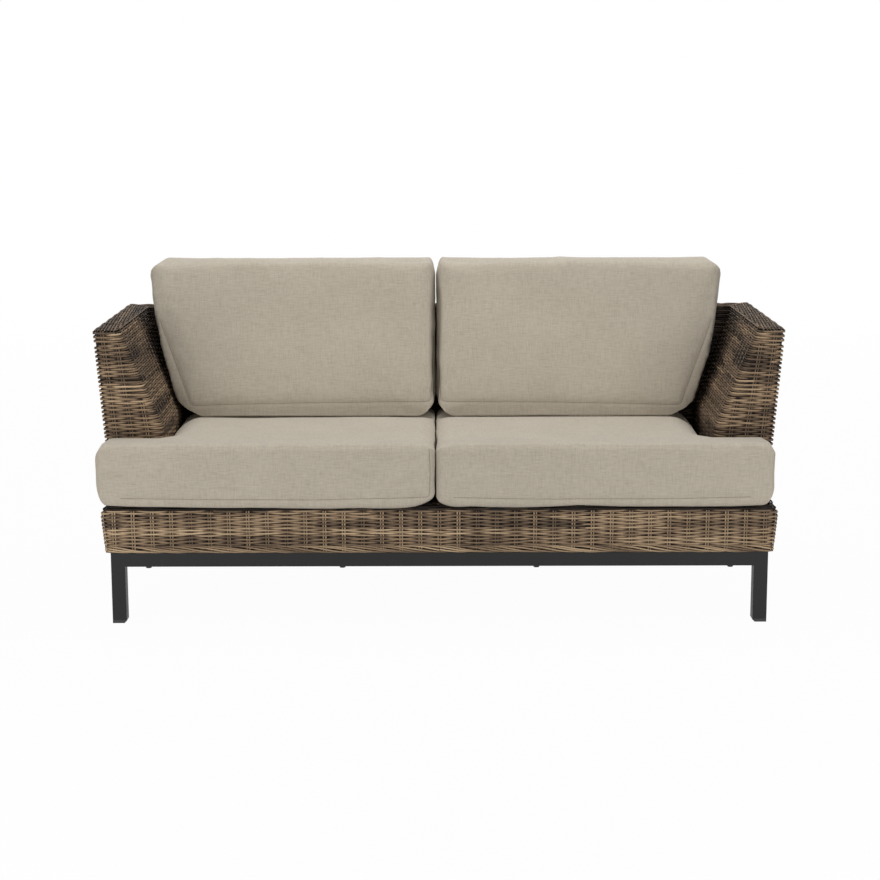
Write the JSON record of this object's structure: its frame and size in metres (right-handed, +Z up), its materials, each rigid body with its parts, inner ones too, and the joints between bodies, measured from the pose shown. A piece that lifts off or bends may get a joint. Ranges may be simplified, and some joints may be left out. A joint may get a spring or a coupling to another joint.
{
  "type": "outdoor dining sofa",
  "caption": "Low outdoor dining sofa: square-tube base, flared woven body with arms and back of one height, and loose boxed seat and back cushions.",
  "frame": {"origin": "on the floor under the middle of the sofa's box", "axes": "+X to the right as seen from the front, +Y to the rear, +Z up"},
  "size_m": [1.8, 0.81, 0.8801],
  "materials": {
    "powder_coat": "satin",
    "foot_plastic": "satin",
    "black_steel": "satin",
    "zinc_steel": "satin",
    "body_tube": "satin",
    "woven_strand": "satin",
    "cushion_fabric": "matte",
    "cushion_foam": "matte",
    "zip_nylon": "satin",
    "zip_metal": "satin"
  },
  "bodies": {
    "sofa_frame": {"back_inner_weave": "woven_strand", "back_outer_weave": "woven_strand", "back_posts": "body_tube", "back_rail": "body_tube", "back_top_weave": "woven_strand", "base_centre_rail": "powder_coat", "base_front_rail": "powder_coat", "base_left_rail": "powder_coat", "base_rear_rail": "powder_coat", "base_right_rail": "powder_coat", "body_bolts": "black_steel", "bolt_washers": "black_steel", "deck_cross_bars": "body_tube", "deck_frame_front_tube": "body_tube", "deck_frame_left_tube": "body_tube", "deck_frame_rear_tube": "body_tube", "deck_frame_right_tube": "body_tube", "foot_caps": "foot_plastic", "front_apron_weave": "woven_strand", "front_left_leg": "powder_coat", "front_right_leg": "powder_coat", "left_arm_front_post": "body_tube", "left_arm_front_weave": "woven_strand", "left_arm_inner_weave": "woven_strand", "left_arm_rail": "body_tube", "left_arm_top_weave": "woven_strand", "left_side_weave": "woven_strand", "lower_frame_front_tube": "body_tube", "lower_frame_left_tube": "body_tube", "lower_frame_rear_tube": "body_tube", "lower_frame_right_tube": "body_tube", "rear_left_leg": "powder_coat", "rear_right_leg": "powder_coat", "right_arm_front_post": "body_tube", "right_arm_front_weave": "woven_strand", "right_arm_inner_weave": "woven_strand", "right_arm_rail": "body_tube", "right_arm_top_weave": "woven_strand", "right_side_weave": "woven_strand", "ring_posts": "body_tube", "rivet_nuts": "zinc_steel", "seat_deck_weave": "woven_strand"},
    "left_seat_cushion": {"left_seat_cover": "cushion_fabric", "left_seat_core": "cushion_foam", "left_seat_zip_chain": "zip_nylon"},
    "left_seat_slider": {"left_seat_zip_slider": "zip_metal"},
    "left_back_cushion": {"left_back_cover": "cushion_fabric", "left_back_core": "cushion_foam", "left_back_zip_chain": "zip_nylon"},
    "left_back_slider": {"left_back_zip_slider": "zip_metal"},
    "right_seat_cushion": {"right_seat_cover": "cushion_fabric", "right_seat_core": "cushion_foam", "right_seat_zip_chain": "zip_nylon"},
    "right_seat_slider": {"right_seat_zip_slider": "zip_metal"},
    "right_back_cushion": {"right_back_cover": "cushion_fabric", "right_back_core": "cushion_foam", "right_back_zip_chain": "zip_nylon"},
    "right_back_slider": {"right_back_zip_slider": "zip_metal"}
  },
  "joints": [
    {"name": "left_seat_cushion_out", "type": "slide", "parent": "sofa_frame", "child": "left_seat_cushion", "axis": [0, -1, 0], "range_m": [0, 0.62]},
    {"name": "left_back_cushion_lift", "type": "slide", "parent": "sofa_frame", "child": "left_back_cushion", "axis": [0, 0, 1], "range_m": [0, 0.32]},
    {"name": "left_seat_zip_run", "type": "slide", "parent": "left_seat_cushion", "child": "left_seat_slider", "axis": [-1, 0, 0], "range_m": [0, 0.53]},
    {"name": "left_back_zip_run", "type": "slide", "parent": "left_back_cushion", "child": "left_back_slider", "axis": [-1, 0, 0], "range_m": [0, 0.53]},
    {"name": "right_seat_cushion_out", "type": "slide", "parent": "sofa_frame", "child": "right_seat_cushion", "axis": [0, -1, 0], "range_m": [0, 0.62]},
    {"name": "right_back_cushion_lift", "type": "slide", "parent": "sofa_frame", "child": "right_back_cushion", "axis": [0, 0, 1], "range_m": [0, 0.32]},
    {"name": "right_seat_zip_run", "type": "slide", "parent": "right_seat_cushion", "child": "right_seat_slider", "axis": [1, 0, 0], "range_m": [0, 0.53]},
    {"name": "right_back_zip_run", "type": "slide", "parent": "right_back_cushion", "child": "right_back_slider", "axis": [1, 0, 0], "range_m": [0, 0.53]}
  ]
}
